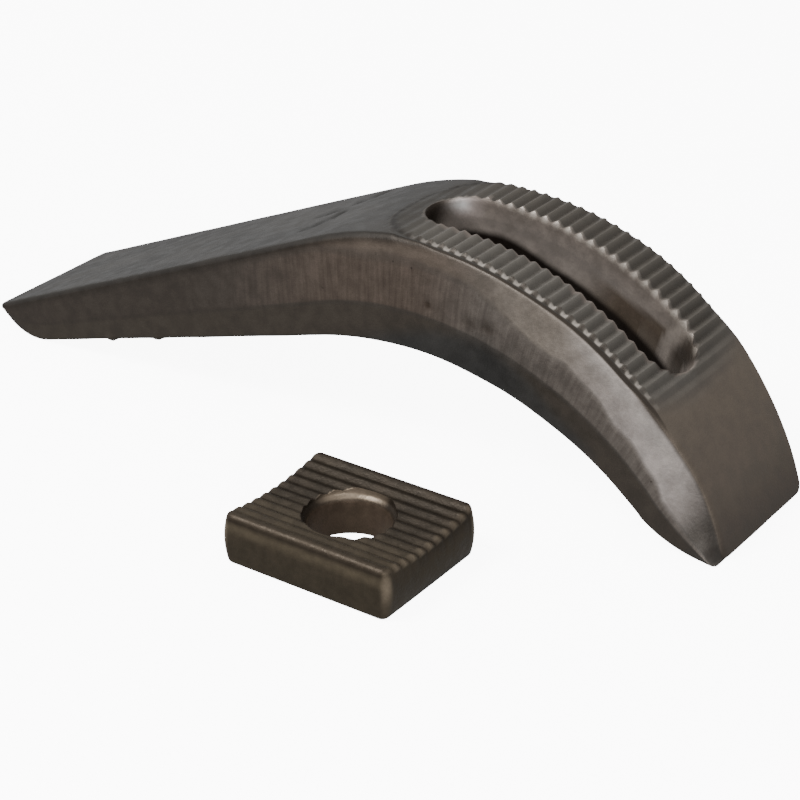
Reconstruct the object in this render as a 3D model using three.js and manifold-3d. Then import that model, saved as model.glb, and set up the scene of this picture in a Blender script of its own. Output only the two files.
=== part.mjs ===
// Strap clamp with a serrated arch, and the loose serrated washer that belongs to it.
// Millimetres, +Z up. The clamp's length runs along X from the nose (-X) to the heel (+X), and
// z = 0 is the surface that both forgings lie on. The washer lies in front of the clamp (-Y) with
// its teeth up. In use it is turned over onto the arch, where its teeth mesh with the clamp's.
import * as THREE from 'three';
import { mergeVertices } from 'three/addons/utils/BufferGeometryUtils.js';
import Module from 'manifold-3d';

const wasm = await Module();
wasm.setup();

// ---- Driving dimensions -------------------------------------------------------------------
const LENGTH = 200;                // nose tip to heel edge
const HEIGHT = 55;                 // crest of the arch above the table
const WIDTH = 40;                  // over the sheared parting band
const CREST_RADIUS = 75;           // tops of the arch's teeth
const NOSE_RADIUS = 13;            // roll under the nose tip
const TIP_HEIGHT = 6.6;            // nose tip edge above the table
const TIP_EDGE = 0.6;              // blunt edge left on the nose tip
const NOSE_SLOPE = 16.4;           // underside of the nose, in degrees
const ARCH_RADIUS = 87.3;          // hollow underside between nose and foot
const ARCH_CENTRE = [22.8, -58.8];
const ARCH_ENDS = [0, 80.6];       // x where the hollow starts and stops
const FOOT_RADIUS = 30.5;          // rounded foot under the heel
const FOOT_START = 81.4;           // x of the small step at the start of the foot
const HEEL_EDGE = 0.8;             // blunt edge left on the heel

const EDGE_WIDTH = 37.6;           // width at the upper and lower edges, which draft narrows
const BAND = [0.4, 0.72];          // where the sheared band lies, as shares of the thickness
const EDGE_BREAK = 1.1;            // bevel along the upper and lower edges

const SLOT_WIDTH = 17;             // clears an M16 or 5/8 in stud
const SLOT_ANGLES = [-8.8, 44.8];  // ends of the slot, in degrees round the crest centre

const TOOTH_ANGLE = 2.3;           // one tooth, in degrees: 3 mm along the crest
const TOOTH_HEIGHT = 0.95;
const TOOTH_SINK = 0.1;            // the arch's tooth tops lie this far under the plain crest
const PAD_START = -14.1;           // first tooth top, in degrees round the crest centre
const PAD_TEETH = 28;
const PAD_WIDTH = 35.6;

const WASHER_LENGTH = 42;          // along its teeth, X
const WASHER_WIDTH = 32;           // across its teeth, Y
const WASHER_TEETH = 10;           // pitches between its outermost tooth tops
const WASHER_MIDDLE = 10.4;        // thickness at the middle, to the tooth tops
const WASHER_HOLE = 17.5;
const WASHER_CORNER = 1.5;
const WASHER_DRAFT = 0.6;          // the sides narrow by this much above and below mid-height
const RIM_BREAK = 1.1;             // bevel round the hole's upper rim
const SEAT_RADIUS = 17;            // spherical nut seat in the plain face
const SEAT_MOUTH = 9.9;            // radius of the seat's mouth
const SEAT_STEPS = 4;              // facets along the seat
const HOLE_FACETS = 40;

// ---- Positions --------------------------------------------------------------------------
const ARM_AT = new THREE.Vector3(0, 27.5, 0);
const WASHER_AT = new THREE.Vector3(35.6, -31, 0);
const CREST_Z = HEIGHT - CREST_RADIUS;
const CREST_X = LENGTH / 2 - Math.sqrt(CREST_RADIUS ** 2 - (HEEL_EDGE - CREST_Z) ** 2);
const OVERCUT = 5;                          // how far cutters stand out of what they cut

const rad = THREE.MathUtils.degToRad;

// ---- Solids: joins and cuts -----------------------------------------------------------------
function solid(geometry) {
  const bare = geometry.clone();
  bare.deleteAttribute('normal');
  bare.deleteAttribute('uv');
  const merged = mergeVertices(bare, 1e-4);
  const mesh = new wasm.Mesh({
    numProp: 3,
    vertProperties: new Float32Array(merged.attributes.position.array),
    triVerts: new Uint32Array(merged.index.array),
  });
  return new wasm.Manifold(mesh);
}

function geometryOf(manifold) {
  const { vertProperties, triVerts } = manifold.getMesh();
  const geometry = new THREE.BufferGeometry();
  geometry.setAttribute('position', new THREE.BufferAttribute(vertProperties, 3));
  geometry.setIndex(new THREE.BufferAttribute(triVerts, 1));
  geometry.computeVertexNormals();
  return geometry;
}

// Extrudes a shape drawn in the XZ plane, symmetrically about y = 0.
function slab(shape, width) {
  const geometry = new THREE.ExtrudeGeometry(shape, { depth: width, bevelEnabled: false });
  geometry.rotateX(Math.PI / 2);
  geometry.translate(0, width / 2, 0);
  return geometry;
}

// A point at a radius and an angle from vertical, about a centre in the XZ plane.
function polar(centreX, centreZ, radius, degrees) {
  const angle = rad(degrees);
  return new THREE.Vector2(centreX + radius * Math.sin(angle), centreZ + radius * Math.cos(angle));
}

// What is cut away above a row of teeth: a zigzag between two radii, closed at a third one
// that is clear of the part.
function comb(centreX, centreZ, radii, clearRadius, first, flanks) {
  const step = TOOTH_ANGLE / 2;
  const points = [];
  for (let i = 0; i <= flanks; i += 1) {
    points.push(polar(centreX, centreZ, radii[i % 2], first + i * step));
  }
  for (let i = flanks; i >= 0; i -= 2) {
    points.push(polar(centreX, centreZ, clearRadius, first + i * step));
  }
  return new THREE.Shape(points);
}

// ---- Clamp arm -----------------------------------------------------------------------------
// Two pairs of matching outlines, upper and lower: nose, then arch.
function armOutlines() {
  const noseDrop = NOSE_RADIUS - TIP_HEIGHT;
  const tip = new THREE.Vector2(-LENGTH / 2, TIP_HEIGHT);
  const noseX = tip.x + Math.sqrt(NOSE_RADIUS ** 2 - noseDrop ** 2);

  // The nose's upper face is the tangent from the tip to the crest circle.
  const toTip = new THREE.Vector2(CREST_X - tip.x, tip.y - CREST_Z);
  const tipAngle = Math.atan2(toTip.x, toTip.y) - Math.acos(CREST_RADIUS / toTip.length());
  const crestStart = -THREE.MathUtils.radToDeg(tipAngle);
  const crestEnd = THREE.MathUtils.radToDeg(Math.acos((HEEL_EDGE - CREST_Z) / CREST_RADIUS));
  const tangent = polar(CREST_X, CREST_Z, CREST_RADIUS, crestStart);

  const noseTop = new THREE.Path();
  noseTop.moveTo(tip.x, tip.y);
  noseTop.lineTo(tangent.x, tangent.y);

  const archTop = new THREE.Path();
  archTop.absarc(CREST_X, CREST_Z, CREST_RADIUS, rad(90 - crestStart), rad(90 - crestEnd), true);

  const archZ = (x) => ARCH_CENTRE[1] + Math.sqrt(ARCH_RADIUS ** 2 - (x - ARCH_CENTRE[0]) ** 2);
  const archAngle = (x) => Math.acos((x - ARCH_CENTRE[0]) / ARCH_RADIUS);
  const footX = LENGTH / 2 - HEEL_EDGE;
  const footAngle = Math.PI + Math.acos((footX - FOOT_START) / FOOT_RADIUS);

  const tipTurn = Math.PI + Math.asin((noseDrop + TIP_EDGE) / NOSE_RADIUS);
  const noseBottom = new THREE.Path();
  noseBottom.absarc(noseX, NOSE_RADIUS, NOSE_RADIUS, tipTurn, rad(270 + NOSE_SLOPE), false);
  noseBottom.lineTo(ARCH_ENDS[0], archZ(ARCH_ENDS[0]));

  const archBottom = new THREE.Path();
  archBottom.absarc(...ARCH_CENTRE, ARCH_RADIUS, archAngle(ARCH_ENDS[0]), archAngle(ARCH_ENDS[1]), true);
  archBottom.absarc(footX, FOOT_RADIUS, FOOT_RADIUS, footAngle, rad(270), false);

  return [
    { top: noseTop, bottom: noseBottom, steps: 18 },
    { top: archTop, bottom: archBottom, steps: 46 },
  ];
}

// One side of the forging's cross-section, from the lower edge to the upper edge:
// [share of the thickness, fixed offset along it, half width].
function armSection(thickness) {
  const bevel = Math.min(EDGE_BREAK, 0.2 * thickness);
  return [
    [0, 0, EDGE_WIDTH / 2 - bevel],
    [0, bevel, EDGE_WIDTH / 2],
    [BAND[0], 0, WIDTH / 2],
    [BAND[1], 0, WIDTH / 2],
    [1, -bevel, EDGE_WIDTH / 2],
    [1, 0, EDGE_WIDTH / 2 - bevel],
  ];
}

function armLoft() {
  const rings = [];
  armOutlines().forEach(({ top, bottom, steps }, part) => {
    for (let i = part === 0 ? 0 : 1; i <= steps; i += 1) {
      const upper = top.getPointAt(i / steps);
      const lower = bottom.getPointAt(i / steps);
      const rise = upper.clone().sub(lower);
      const thickness = rise.length();
      const half = armSection(thickness).map(([share, offset, y]) => {
        const at = lower.clone().addScaledVector(rise, share + offset / thickness);
        return [at.x, y, at.y];
      });
      const mirrored = half.map(([x, y, z]) => [x, -y, z]).reverse();
      rings.push([...half, ...mirrored]);
    }
  });

  const size = rings[0].length;
  const index = [];
  for (let r = 0; r < rings.length - 1; r += 1) {
    for (let k = 0; k < size; k += 1) {
      const a = r * size + k;
      const b = r * size + ((k + 1) % size);
      index.push(a, b, a + size, b, b + size, a + size);
    }
  }
  const lastRing = (rings.length - 1) * size;
  for (let k = 1; k < size - 1; k += 1) {
    index.push(0, k + 1, k);
    index.push(lastRing, lastRing + k, lastRing + k + 1);
  }
  const geometry = new THREE.BufferGeometry();
  geometry.setAttribute('position', new THREE.Float32BufferAttribute(rings.flat(2), 3));
  geometry.setIndex(index);
  return geometry;
}

// Stud slot, punched square to the crest at the middle of the slot.
function slotCutter() {
  const [first, last] = SLOT_ANGLES;
  const middle = (first + last) / 2;
  const span = 2 * CREST_RADIUS * Math.sin(rad((last - first) / 2));
  const radius = SLOT_WIDTH / 2;
  const reach = span / 2 - radius;
  const stadium = new THREE.Shape();
  stadium.absarc(reach, 0, radius, -Math.PI / 2, Math.PI / 2, false);
  stadium.absarc(-reach, 0, radius, Math.PI / 2, (3 * Math.PI) / 2, false);
  const depth = CREST_RADIUS;
  const geometry = new THREE.ExtrudeGeometry(stadium, { depth, bevelEnabled: false, curveSegments: 12 });
  geometry.rotateY(rad(middle));
  const start = polar(CREST_X, CREST_Z, OVERCUT, middle);
  geometry.translate(start.x, 0, start.y);
  return geometry;
}

function clampArm() {
  const tops = CREST_RADIUS - TOOTH_SINK;
  const radii = [tops, tops - TOOTH_HEIGHT];
  const teeth = comb(CREST_X, CREST_Z, radii, CREST_RADIUS + OVERCUT, PAD_START, 2 * PAD_TEETH);
  const body = solid(armLoft()).subtract(solid(slotCutter())).subtract(solid(slab(teeth, PAD_WIDTH)));
  return geometryOf(body);
}

// ---- Serrated washer ------------------------------------------------------------------------
function roundedRectangle(length, width, radius) {
  const x = length / 2 - radius;
  const y = width / 2 - radius;
  const shape = new THREE.Shape();
  shape.absarc(x, y, radius, 0, Math.PI / 2, false);
  shape.absarc(-x, y, radius, Math.PI / 2, Math.PI, false);
  shape.absarc(-x, -y, radius, Math.PI, (3 * Math.PI) / 2, false);
  shape.absarc(x, -y, radius, (3 * Math.PI) / 2, 2 * Math.PI, false);
  return shape;
}

// The block's widest level is at mid-height, and draft narrows it above and below.
function washerBlock(height) {
  const outline = roundedRectangle(WASHER_LENGTH, WASHER_WIDTH, WASHER_CORNER);
  const geometry = new THREE.ExtrudeGeometry(outline, {
    depth: height / 5,
    curveSegments: 4,
    bevelThickness: (2 * height) / 5,
    bevelSize: WASHER_DRAFT,
    bevelOffset: -WASHER_DRAFT,
    bevelSegments: 1,
  });
  geometry.translate(0, 0, (2 * height) / 5);
  return geometry;
}

// Hole, bevelled upper rim and spherical nut seat, as one lathe profile. rim is the level of the
// tooth tops at the hole.
function holeCutter(rim) {
  const radius = WASHER_HOLE / 2;
  const mouth = radius + RIM_BREAK;
  const sphereZ = -Math.sqrt(SEAT_RADIUS ** 2 - SEAT_MOUTH ** 2);
  const seat = [];
  for (let i = 0; i <= SEAT_STEPS; i += 1) {
    const r = THREE.MathUtils.lerp(SEAT_MOUTH, radius, i / SEAT_STEPS);
    seat.push(new THREE.Vector2(r, sphereZ + Math.sqrt(SEAT_RADIUS ** 2 - r ** 2)));
  }
  const profile = [
    new THREE.Vector2(0, -OVERCUT),
    new THREE.Vector2(SEAT_MOUTH, -OVERCUT),
    ...seat,
    new THREE.Vector2(radius, rim - RIM_BREAK),
    new THREE.Vector2(mouth, rim),
    new THREE.Vector2(mouth, rim + OVERCUT),
    new THREE.Vector2(0, rim + OVERCUT),
  ];
  const geometry = new THREE.LatheGeometry(profile, HOLE_FACETS);
  geometry.rotateX(Math.PI / 2);
  return geometry;
}

// The hollow face has the same radius and pitch as the arch's teeth, one set's tops in the
// other set's roots.
function serratedWasher() {
  const tops = CREST_RADIUS - TOOTH_SINK - TOOTH_HEIGHT;
  const centreZ = WASHER_MIDDLE + tops;
  const blockHeight = centreZ - Math.sqrt(tops ** 2 - (WASHER_WIDTH / 2) ** 2);
  const flanks = 2 * WASHER_TEETH + 2;
  const first = 180 - (flanks * TOOTH_ANGLE) / 4;
  const radii = [tops + TOOTH_HEIGHT, tops];
  const teeth = slab(comb(0, centreZ, radii, tops - OVERCUT, first, flanks), WASHER_LENGTH + OVERCUT);
  teeth.rotateZ(Math.PI / 2);
  const hole = holeCutter(WASHER_MIDDLE);
  const body = solid(washerBlock(blockHeight)).subtract(solid(teeth)).subtract(solid(hole));
  return geometryOf(body);
}

// ---- Assembly -------------------------------------------------------------------------------
const assembly = new THREE.Group();

function place(name, geometry, color, roughness, position) {
  const material = new THREE.MeshStandardMaterial({ color, roughness, metalness: 0.8 });
  const mesh = new THREE.Mesh(geometry, material);
  mesh.name = name;
  mesh.position.copy(position);
  assembly.add(mesh);
}

place('clamp_arm', clampArm(), 0x6b6660, 0.55, ARM_AT);
place('serrated_washer', serratedWasher(), 0x4e463e, 0.6, WASHER_AT);

export default assembly;
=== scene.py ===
# Looks of the serrated strap clamp and its loose washer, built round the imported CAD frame.
# Lengths are in millimetres until a mesh is made, and metres after that.
import math
import bpy
import numpy as np
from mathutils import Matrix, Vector, noise


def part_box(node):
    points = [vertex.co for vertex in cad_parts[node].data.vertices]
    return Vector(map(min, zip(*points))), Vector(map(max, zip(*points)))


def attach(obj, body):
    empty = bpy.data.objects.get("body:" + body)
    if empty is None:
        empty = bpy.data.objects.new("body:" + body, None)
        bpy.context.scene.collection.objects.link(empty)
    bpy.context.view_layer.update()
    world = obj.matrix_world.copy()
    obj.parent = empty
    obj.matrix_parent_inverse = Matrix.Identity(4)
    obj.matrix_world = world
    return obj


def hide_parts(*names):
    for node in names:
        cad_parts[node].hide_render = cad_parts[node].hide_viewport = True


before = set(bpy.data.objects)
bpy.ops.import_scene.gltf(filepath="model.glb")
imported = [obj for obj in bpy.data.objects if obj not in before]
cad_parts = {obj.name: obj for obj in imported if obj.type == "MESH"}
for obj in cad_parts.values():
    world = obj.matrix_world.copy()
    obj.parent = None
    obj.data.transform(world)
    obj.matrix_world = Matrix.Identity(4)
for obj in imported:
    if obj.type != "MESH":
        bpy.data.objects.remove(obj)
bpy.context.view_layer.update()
MM = 0.001


def box_mm(node):
    low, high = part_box(node)
    return np.array(low) / MM, np.array(high) / MM


# ---- Driving dimensions --------------------------------------------------------------------
ARM_LOW, ARM_HIGH = box_mm("clamp_arm")
WASHER_LOW, WASHER_HIGH = box_mm("serrated_washer")
ARM_Y = (ARM_LOW[1] + ARM_HIGH[1]) / 2
HALF_WIDTH = (ARM_HIGH[1] - ARM_LOW[1]) / 2
TIP_HEIGHT = 6.6
TIP_THICKNESS = 0.6
NOSE_TIP = np.array([ARM_LOW[0], TIP_HEIGHT])
HEEL_EDGE = 0.8    # blunt edge left on the heel

HEIGHT = 55.0    # plain crest over the table; the tooth tops lie a little under it
CREST_RADIUS = 75.0
CREST = np.array([0.0, HEIGHT - CREST_RADIUS])
CREST[0] = ARM_HIGH[0] - math.sqrt(CREST_RADIUS**2 - (HEEL_EDGE - CREST[1]) ** 2)

NOSE_ROLL = 13.0                 # radius of the roll under the tip
NOSE_SLOPE = math.radians(16.4)
ARCH = np.array([22.8, -58.8])   # centre of the hollow under the arch, as x and z
ARCH_RADIUS = 87.3
ARCH_ENDS = (0.0, 80.6)          # the hollow's ends in x
FOOT_RADIUS = 30.5
FOOT_START = 81.4                # x past the small step in front of the foot

TOOTH_ANGLE = 2.3
TOOTH_HEIGHT = 0.95
PAD_START = -14.1
PAD_TEETH = 28
PAD_END = PAD_START + PAD_TEETH * TOOTH_ANGLE
MM_PER_DEGREE = CREST_RADIUS * math.pi / 180

SLOT_HALF = 8.5
SLOT_ANGLES = (-8.8, 44.8)
SLOT_MIDDLE = math.radians(sum(SLOT_ANGLES) / 2)
SLOT_REACH = CREST_RADIUS * math.sin(math.radians(SLOT_ANGLES[1] - SLOT_ANGLES[0]) / 2) - SLOT_HALF

# One tooth from top to top: share of the pitch, height. The tops and roots are slightly round.
TOOTH = ((0, 1), (0.06, 0.93), (0.2, 0.62), (0.33, 0.33), (0.45, 0.05),
         (0.5, 0), (0.55, 0.05), (0.67, 0.33), (0.8, 0.62), (0.94, 0.93))


def smooth(low, high, x):
    t = np.clip((np.asarray(x, float) - low) / (high - low), 0, 1)
    return t * t * (3 - 2 * t)


def tooth_height(phase):
    shares, heights = zip(*TOOTH, (1, 1))
    return np.interp(np.mod(phase, 1), shares, heights)


def polar(radius, degrees):
    """Points at a radius and angle from vertical about the crest's centre, as x and z."""
    a = np.radians(degrees)
    return np.stack([CREST[0] + radius * np.sin(a), CREST[1] + radius * np.cos(a)], -1)


# ---- Meshes ---------------------------------------------------------------------------------
def mesh_object(name, points, faces):
    mesh = bpy.data.meshes.new(name)
    mesh.from_pydata((np.asarray(points) * MM).tolist(), [], faces)
    mesh.validate()
    obj = bpy.data.objects.new(name, mesh)
    bpy.context.scene.collection.objects.link(obj)
    return obj


def tube_faces(rings, size):
    """Quads between closed rings of points, with a flat cap on each end."""
    faces = []
    for r in range(rings - 1):
        for k in range(size):
            a, b = r * size + k, r * size + (k + 1) % size
            faces.append((a, b, b + size, a + size))
    last = (rings - 1) * size
    faces.append(tuple(reversed(range(size))))
    faces.append(tuple(range(last, last + size)))
    return faces


def cut(obj, cutter):
    """Takes the cutter's volume out of the object."""
    change = obj.modifiers.new("cut", "BOOLEAN")
    change.operation = "DIFFERENCE"
    change.solver = "MANIFOLD"
    change.object = cutter
    depsgraph = bpy.context.evaluated_depsgraph_get()
    result = bpy.data.meshes.new_from_object(obj.evaluated_get(depsgraph))
    result.materials.clear()
    obj.modifiers.clear()
    old = obj.data
    obj.data = result
    bpy.data.meshes.remove(old)
    bpy.data.objects.remove(cutter)


def coordinates(obj):
    points = np.empty(len(obj.data.vertices) * 3)
    obj.data.vertices.foreach_get("co", points)
    return points.reshape(-1, 3) / MM


# ---- Arm: outline in the XZ plane ------------------------------------------------------------
def arc(centre, radius, start, end, steps):
    a = np.linspace(start, end, steps)
    return np.stack([centre[0] + radius * np.cos(a), centre[1] + radius * np.sin(a)], -1)


TO_TIP = np.array([CREST[0] - NOSE_TIP[0], NOSE_TIP[1] - CREST[1]])
REACH = np.hypot(*TO_TIP)
CREST_START = -math.degrees(math.atan2(*TO_TIP) - math.acos(CREST_RADIUS / REACH))
CREST_END = math.degrees(math.acos((HEEL_EDGE - CREST[1]) / CREST_RADIUS))
NOSE_LENGTH = math.sqrt(REACH**2 - CREST_RADIUS**2)
TIP_AT = NOSE_LENGTH - CREST_START * MM_PER_DEGREE    # the tip's distance before angle 0


def lower_outlines():
    """The underside as two polylines that match the nose's top and the arch's top."""
    roll_x = NOSE_TIP[0] + math.sqrt(NOSE_ROLL**2 - (NOSE_ROLL - NOSE_TIP[1]) ** 2)
    drop = NOSE_ROLL - NOSE_TIP[1] + TIP_THICKNESS
    roll = arc((roll_x, NOSE_ROLL), NOSE_ROLL, math.pi + math.asin(drop / NOSE_ROLL),
               1.5 * math.pi + NOSE_SLOPE, 40)
    angles = [math.acos((x - ARCH[0]) / ARCH_RADIUS) for x in ARCH_ENDS]
    hollow = arc(ARCH, ARCH_RADIUS, angles[0], angles[1], 200)
    foot_x = ARM_HIGH[0] - HEEL_EDGE
    foot = arc((foot_x, FOOT_RADIUS), FOOT_RADIUS,
               math.pi + math.acos((foot_x - FOOT_START) / FOOT_RADIUS), 1.5 * math.pi, 60)
    return np.concatenate([roll, hollow[:1]]), np.concatenate([hollow, foot])


def along(polyline, shares):
    steps = np.hypot(*np.diff(polyline, axis=0).T)
    length = np.concatenate([[0], np.cumsum(steps)])
    at = np.asarray(shares) * length[-1]
    return np.stack([np.interp(at, length, polyline[:, i]) for i in (0, 1)], -1)


def stations():
    """Upper points, lower points and angle round the crest of every cross-section."""
    # Shares of the nose's length: close together at the tip and near the folds.
    nose_shares = np.concatenate([0.04 * np.linspace(0, 1, 10)[:-1] ** 1.6,
                                  np.linspace(0.04, 0.8, 90)[:-1],
                                  np.linspace(0.8, 0.92, 36)[:-1],
                                  np.linspace(0.92, 1, 11)])
    nose_lower, arch_lower = lower_outlines()
    start = polar(CREST_RADIUS, CREST_START)
    nose_upper = NOSE_TIP + nose_shares[:, None] * (start - NOSE_TIP)
    # Angles on the nose count on past the crest's start by length, so that masks can use them.
    nose_angles = CREST_START - np.degrees((1 - nose_shares) * NOSE_LENGTH / CREST_RADIUS)

    before = np.arange(CREST_START, PAD_START, 0.6)[1:]
    shares = np.array([s for s, _ in TOOTH])
    pad = (PAD_START + TOOTH_ANGLE * (np.arange(PAD_TEETH)[:, None] + shares)).ravel()
    after = np.arange(PAD_END, CREST_END - 1.75, 0.5)
    heel = CREST_END - 1.7 * np.array([1, 0.7, 0.45, 0.25, 0.12, 0.05, 0])
    angles = np.concatenate([before, pad, after, heel])
    arch_upper = polar(CREST_RADIUS, angles)
    arch_shares = (angles - CREST_START) / (CREST_END - CREST_START)
    upper = np.concatenate([nose_upper, arch_upper])
    lower = np.concatenate([along(nose_lower, nose_shares), along(arch_lower, arch_shares)])
    return upper, lower, np.concatenate([nose_angles, angles])


# ---- Arm: cross-section ----------------------------------------------------------------------
PAD_NOSE_END = -2.9      # the pad's outline is half an ellipse from this angle to its start
LOWER_SHARE = 0.36       # lower edge of the sheared band, as a share of the thickness
SINK = 0.1               # the tooth tops lie this far under the plain crest
NEAR, FAR = 0, 1         # the two long sides: the teeth stop short of the near one
BEND_SHARE = 0.4         # share of the facet's points that turn its upper edge
BEND_DEPTH = 0.9         # depth of that turned edge
BAND_POINTS = 14


def swell(angle, side):
    """How far each rail bulges beyond the arm's width beside the slot."""
    near = np.exp(-(((angle - 14) / 15) ** 2))
    far = 1.5 * np.exp(-(((angle - 30) / 21) ** 2))
    return np.where(side == FAR, far, near)


def pad_half(angle, side):
    """Half width of the serrated pad: it reaches the far edge, and stops short of the near one."""
    near = 18.1 - 0.8 * smooth(20, 38, angle)
    return np.where(side == FAR, 19.3, near) + swell(angle, side)


def outside_pad(angle, y, side):
    """Distance outside the serrated pad's outline, negative within it; y counts from the middle."""
    half = pad_half(angle, side)
    nose_end = (PAD_NOSE_END - PAD_START) * MM_PER_DEGREE
    ahead = np.maximum(PAD_NOSE_END - angle, 0) * MM_PER_DEGREE
    round_end = (np.hypot(y / half, ahead / nose_end) - 1) * (half + nose_end) / 2
    return np.where(ahead > 0, round_end, y - half)


def heel_fade(angle, y):
    """1 over most of the pad, falling to 0 where the last grooves run out."""
    return 1 - smooth(PAD_END - 9, PAD_END + 1, angle + 0.008 * np.asarray(y) ** 2)


def crest_depth(angle, y, side):
    """How far the top lies under the plain crest: teeth, their sloping ends, land and crease."""
    outside = outside_pad(angle, y, side)
    rise = tooth_height((angle - PAD_START) / TOOTH_ANGLE)
    slope = np.where(side == FAR, 0.7, 1.4)
    inside = TOOTH_HEIGHT * np.maximum(1 - rise, smooth(-slope - 0.1, -0.1, outside))
    crease = 0.1 * np.exp(-((outside - 0.85) / 0.22) ** 2) * (side == NEAR)
    level = (1 - smooth(0.1, 1.6, outside)) * (0.1 + 0.9 * smooth(-12, 4, angle))
    level = np.maximum(level, smooth(-6, 3, angle))
    return (inside + SINK) * level * heel_fade(angle, y) + crease * heel_fade(angle, 12)


def shoulder_roll(angle):
    """Depth of the round edge between the top and the side: large where the arch begins."""
    return 1.3 + 3.4 * smooth(-26, -10, angle) * (1 - smooth(6, 26, angle))


def facet_share(angle):
    """How much of the shoulder is a flat, drafted facet: none on the nose, all on the arch."""
    return smooth(4, 26, angle)


def facet_spread(angle):
    """How far the near facet reaches in over the top, towards the heel face."""
    return 4.4 * smooth(40, 64, angle)


def shoulder_height(angle, thickness):
    """Depth of the shoulder, down to the sheared band."""
    wide = 1.6 + 7.7 * smooth(-3, 21, angle) - 5.5 * smooth(62, 100, angle)
    ripple = 0.5 * np.sin(np.radians(angle) * 19) + 0.35 * np.sin(np.radians(angle) * 43 + 1)
    wide = wide + ripple * smooth(20, 30, angle)
    return np.minimum(np.maximum(wide, shoulder_roll(angle) + 1.5), 0.55 * thickness)


def top_half_width(angle, side):
    """Half width of the top, out to where the shoulder starts."""
    drawn_in = smooth(-34, -16, angle) * (1 - smooth(-9, 2, angle))
    half = 18.9 + swell(angle, side)
    if side == NEAR:
        return float(half - 0.8 * drawn_in - facet_spread(angle))
    half += 0.5 * smooth(-22, -6, angle)
    return float(half - 1.6 * drawn_in - 0.7 * (1 - smooth(-30, -16, angle)))


def top_line(angle, thickness, side):
    """The top, from its middle to its edge, with shallower teeth where the nose is thin."""
    top_half = top_half_width(angle, side)
    ridge_end = min(float(pad_half(angle, side)), top_half - 0.3)
    y = np.concatenate([np.linspace(0, ridge_end - 1.6, 12),
                        np.linspace(ridge_end - 1.4, ridge_end, 7),
                        np.linspace(ridge_end + 0.12, top_half, 6)])
    return y, crest_depth(angle, y, side) * min(1.0, thickness / 8)


def shoulder_line(angle, shoulder, top_half, land, wall):
    """The shoulder: a round edge on the nose, which turns into a drafted facet on the arch."""
    turn = np.linspace(0, 1, 17)[1:]
    roll = min(float(shoulder_roll(angle)), 0.5 * shoulder)
    y_roll = top_half + (wall - top_half) * np.sin(turn * math.pi / 2)
    d_roll = land + roll * (1 - np.cos(turn * math.pi / 2))

    bend = np.minimum(turn / BEND_SHARE, 1) * math.pi / 2
    beyond = np.maximum(turn - BEND_SHARE, 0) / (1 - BEND_SHARE)
    bend_width = 0.6 - 0.3 * float(smooth(40, 64, angle))
    y_facet = top_half + (wall - top_half) * (bend_width * np.sin(bend) + (1 - bend_width) * beyond)
    d_facet = land + BEND_DEPTH * (1 - np.cos(bend)) + (shoulder - BEND_DEPTH - land) * beyond

    flat = float(facet_share(angle))
    return y_roll + (y_facet - y_roll) * flat, d_roll + (d_facet - d_roll) * flat


def half_section(angle, thickness, side):
    """y and depth under the crest, from the middle of the top round to the middle of the base."""
    shoulder = shoulder_height(angle, thickness)
    on_arch = float(smooth(-22, -6, angle))
    bulge = float(swell(angle, side))
    edge_half = HALF_WIDTH + bulge
    wall = edge_half - 0.05 - 0.1 * on_arch
    y_top, d_top = top_line(angle, thickness, side)
    y_turn, d_turn = shoulder_line(angle, shoulder, y_top[-1], d_top[-1], wall)

    # The sheared band stands a little proud of what is above and below it.
    band_low = thickness * (1 - LOWER_SHARE)
    gap = min(0.5, 0.05 * thickness)
    start = max(shoulder, d_turn[-1]) + gap
    d_band = np.linspace(start, band_low - gap, BAND_POINTS)
    y_band = edge_half - bulge * 0.7 * smooth(0.3, 1, (d_band - start) / (band_low - start))

    corner = min(0.9, 0.2 * thickness)
    base_half = HALF_WIDTH - 0.4 - 0.5 * on_arch
    d_low = np.linspace(band_low, thickness - corner, 9)
    share = (d_low - band_low) / (thickness - corner - band_low)
    y_low = y_band[-1] - 0.1 + (base_half - y_band[-1] + 0.1) * share**1.2

    turn = np.linspace(0, math.pi / 2, 6)[1:]
    y_base = base_half - corner * (1 - np.cos(turn))
    d_base = thickness - corner * (1 - np.sin(turn))
    y_under = np.linspace(base_half - corner, 0, 12)[1:]
    d_under = np.full(len(y_under), thickness)
    return (np.concatenate([y_top, y_turn, y_band, y_low, y_base, y_under]),
            np.concatenate([d_top, d_turn, d_band, d_low, d_base, d_under]))


# Folds across the top of the nose, as paths of x, y.
FOLDS = (((-13.5, 19.5), (-12, 21), (-11.5, 23.5), (-10.4, 26), (-10.5, 30)),
         ((-17.5, 31.5), (-15.5, 32), (-14.3, 33.5)),
         ((-11.5, 37.5), (-9, 39.5), (-7.5, 43)))
# Dents in the sheared band: length round the crest, depth under it, size and strength.
DENTS = ((2.3, 14.0, 1.0, 0.9), (14.4, 14.2, 1.7, 0.45), (19.2, 12.9, 2.0, 0.55))
# Burrs on the nose's lower near edge: x, z and size.
BURRS = ((-63.5, 7.0, 0.6), (-49, 11.3, 0.5))
FOLD_DEPTH = 0.35
END_ROUND = (1.2, 2.2)   # rounding, in plan, of the nose tip's and the heel's corners


def fold_depth(x, y):
    """How far the folds across the top of the nose sink in."""
    depth = np.zeros(len(x))
    for fold in FOLDS:
        for (x0, y0), (x1, y1) in zip(fold, fold[1:]):
            step = np.array([x1 - x0, y1 - y0])
            share = np.clip(((x - x0) * step[0] + (y - y0) * step[1]) / (step @ step), 0, 1)
            away = np.hypot(x - x0 - share * step[0], y - y0 - share * step[1])
            depth = np.maximum(depth, FOLD_DEPTH * np.exp(-((away / 1.3) ** 2)))
    return depth


def wavy(points, size, seed):
    """Smooth noise between about -1 and 1, with bumps of the given size."""
    offset = Vector((seed, 2 * seed, -seed))
    return np.array([noise.noise(Vector(p) / size + offset) for p in points.tolist()])


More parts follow.
